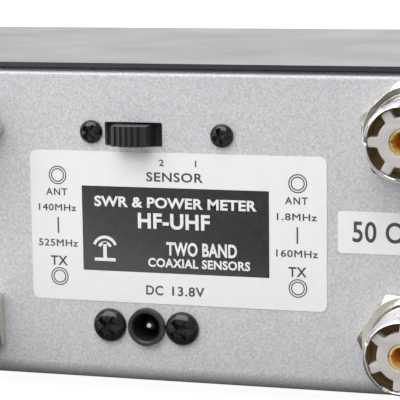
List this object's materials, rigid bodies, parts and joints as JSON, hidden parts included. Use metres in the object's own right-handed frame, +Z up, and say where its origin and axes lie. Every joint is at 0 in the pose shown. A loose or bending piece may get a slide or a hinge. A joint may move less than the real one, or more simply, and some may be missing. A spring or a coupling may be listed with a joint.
{
  "type": "swr meter",
  "caption": "Bench SWR and power meter: bent sheet case with antenna sockets, sensor switch and DC jack at the back, analogue meter and controls in front.",
  "frame": {"origin": "on the table under the middle of the meter, between the socket rims and the knob's face", "axes": "+X to the right as seen from the front, -Y out of the front, +Y out of the socket panel, +Z up"},
  "size_m": [0.1718, 0.1328, 0.0731],
  "materials": {
    "panel_paint": "silver grey, fine metallic texture, semi-gloss",
    "cover_paint": "dark slate, semi-gloss",
    "front_plastic": "fine matte grain",
    "black_plastic": "semi-gloss",
    "black_screw": "black oxide, satin",
    "nickel": "bright nickel plate",
    "insulator": "warm white, waxy",
    "gold": "gold plate",
    "brass": "plain brass",
    "spring_steel": "bright",
    "foot_rubber": "matte",
    "label_film": "smooth printed film",
    "shield_tin": "tin plate",
    "copper": "enamelled copper",
    "ferrite": "dark sintered",
    "circuit_board": "green solder mask",
    "component_black": "moulded",
    "meter_plastic": "white moulded",
    "clear_pane": "clear",
    "dial_paper": "matte cream",
    "iron": "plated iron",
    "magnet": "ground alloy",
    "needle_paint": "black lacquer",
    "aluminium": "satin",
    "wire_sleeve": "flexible insulation"
  },
  "bodies": {
    "case": {"board_components": "component_black", "cal_pot_body": "aluminium", "cal_pot_nut": "nickel", "chassis": "panel_paint", "control_board": "circuit_board", "cover_screws": "black_screw", "dc_jack_body": "black_plastic", "dc_jack_pin": "spring_steel", "dc_jack_screws": "black_screw", "dc_jack_spring": "spring_steel", "foot_screws": "black_screw", "front_bezel": "front_plastic", "front_switch_bodies": "black_plastic", "hairspring": "spring_steel", "hf_ant_contact": "gold", "hf_ant_insulator": "insulator", "hf_ant_shell": "nickel", "hf_line": "brass", "hf_sensor_board": "circuit_board", "hf_sensor_box": "shield_tin", "hf_toroid": "ferrite", "hf_tx_contact": "gold", "hf_tx_insulator": "insulator", "hf_tx_shell": "nickel", "internal_wires": "wire_sleeve", "meter_bridges": "brass", "meter_core": "magnet", "meter_dial": "dial_paper", "meter_housing": "meter_plastic", "meter_window": "clear_pane", "meter_yoke": "iron", "rear_label": "label_film", "rubber_feet": "foot_rubber", "sensor_switch_body": "black_plastic", "sensor_switch_frame": "spring_steel", "sensor_switch_screws": "black_screw", "small_label": "label_film", "socket_nuts": "nickel", "top_cover": "cover_paint", "vhf_ant_contact": "gold", "vhf_ant_insulator": "insulator", "vhf_ant_shell": "nickel", "vhf_line": "brass", "vhf_sensor_board": "circuit_board", "vhf_sensor_box": "shield_tin", "vhf_tx_contact": "gold", "vhf_tx_insulator": "insulator", "vhf_tx_shell": "nickel"},
    "sensor_knob": {"sensor_switch_knob": "black_plastic"},
    "range_lever": {"range_lever": "black_plastic"},
    "function_lever": {"function_lever": "black_plastic"},
    "power_lever": {"power_lever": "black_plastic"},
    "mode_button": {"mode_button": "black_plastic"},
    "cal_knob": {"cal_knob": "black_plastic", "cal_pot_shaft": "aluminium"},
    "needle": {"meter_needle": "needle_paint", "moving_coil": "copper", "meter_arbor": "spring_steel"},
    "zero_adjuster": {"zero_adjuster": "black_plastic"}
  },
  "joints": [
    {"name": "sensor_slide", "type": "slide", "parent": "case", "child": "sensor_knob", "axis": [1, 0, 0], "range_m": [0, 0.0023]},
    {"name": "range_slide", "type": "slide", "parent": "case", "child": "range_lever", "axis": [1, 0, 0], "range_m": [-0.003, 0.003]},
    {"name": "function_slide", "type": "slide", "parent": "case", "child": "function_lever", "axis": [1, 0, 0], "range_m": [-0.003, 0.003]},
    {"name": "power_slide", "type": "slide", "parent": "case", "child": "power_lever", "axis": [1, 0, 0], "range_m": [0, 0.003]},
    {"name": "mode_press", "type": "slide", "parent": "case", "child": "mode_button", "axis": [0, 1, 0], "range_m": [0, 0.002], "stiffness_N_per_m": 300},
    {"name": "cal_turn", "type": "hinge", "parent": "case", "child": "cal_knob", "pos_m": [0.062, -0.055, 0.02], "axis": [0, 1, 0], "range_deg": [-150, 150]},
    {"name": "needle_swing", "type": "hinge", "parent": "case", "child": "needle", "pos_m": [-0.032, -0.032, 0.028], "axis": [0, 1, 0], "range_deg": [0, 90], "stiffness_Nm_per_rad": 0.0002},
    {"name": "zero_turn", "type": "hinge", "parent": "case", "child": "zero_adjuster", "pos_m": [-0.032, -0.0495, 0.011], "axis": [0, 1, 0], "range_deg": [-30, 30]}
  ]
}
